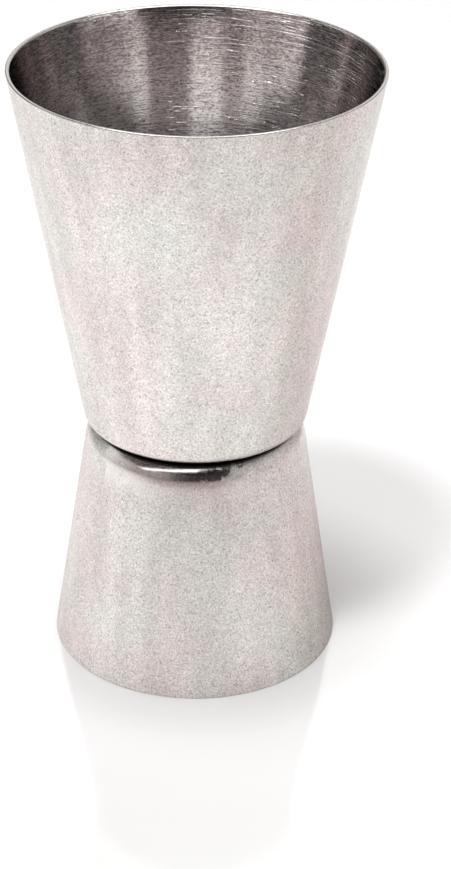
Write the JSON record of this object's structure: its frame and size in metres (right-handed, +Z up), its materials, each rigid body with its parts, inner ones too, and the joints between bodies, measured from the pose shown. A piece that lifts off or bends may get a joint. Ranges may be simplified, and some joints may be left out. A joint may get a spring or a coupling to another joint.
{
  "type": "bar jigger",
  "caption": "Double-ended bar jigger: two conical stainless steel cups of different capacity, welded floor to floor, standing on the mouth of the small cup.",
  "frame": {"origin": "centre of the small cup's mouth, on the plane that the jigger stands on", "axes": "+Z up along the cups' common axis, from the small cup's mouth to the large cup's mouth; +X through one of the spot welds"},
  "size_m": [0.0462, 0.0462, 0.0794],
  "materials": {
    "satin_steel": "fine satin outside, turned lines inside, brighter on the pressed corners",
    "weld_steel": "cast structure of a spot weld, sealed between the floors"
  },
  "bodies": {
    "root": {"large_cup": "satin_steel", "small_cup": "satin_steel", "weld_nuggets": "weld_steel"}
  },
  "joints": []
}
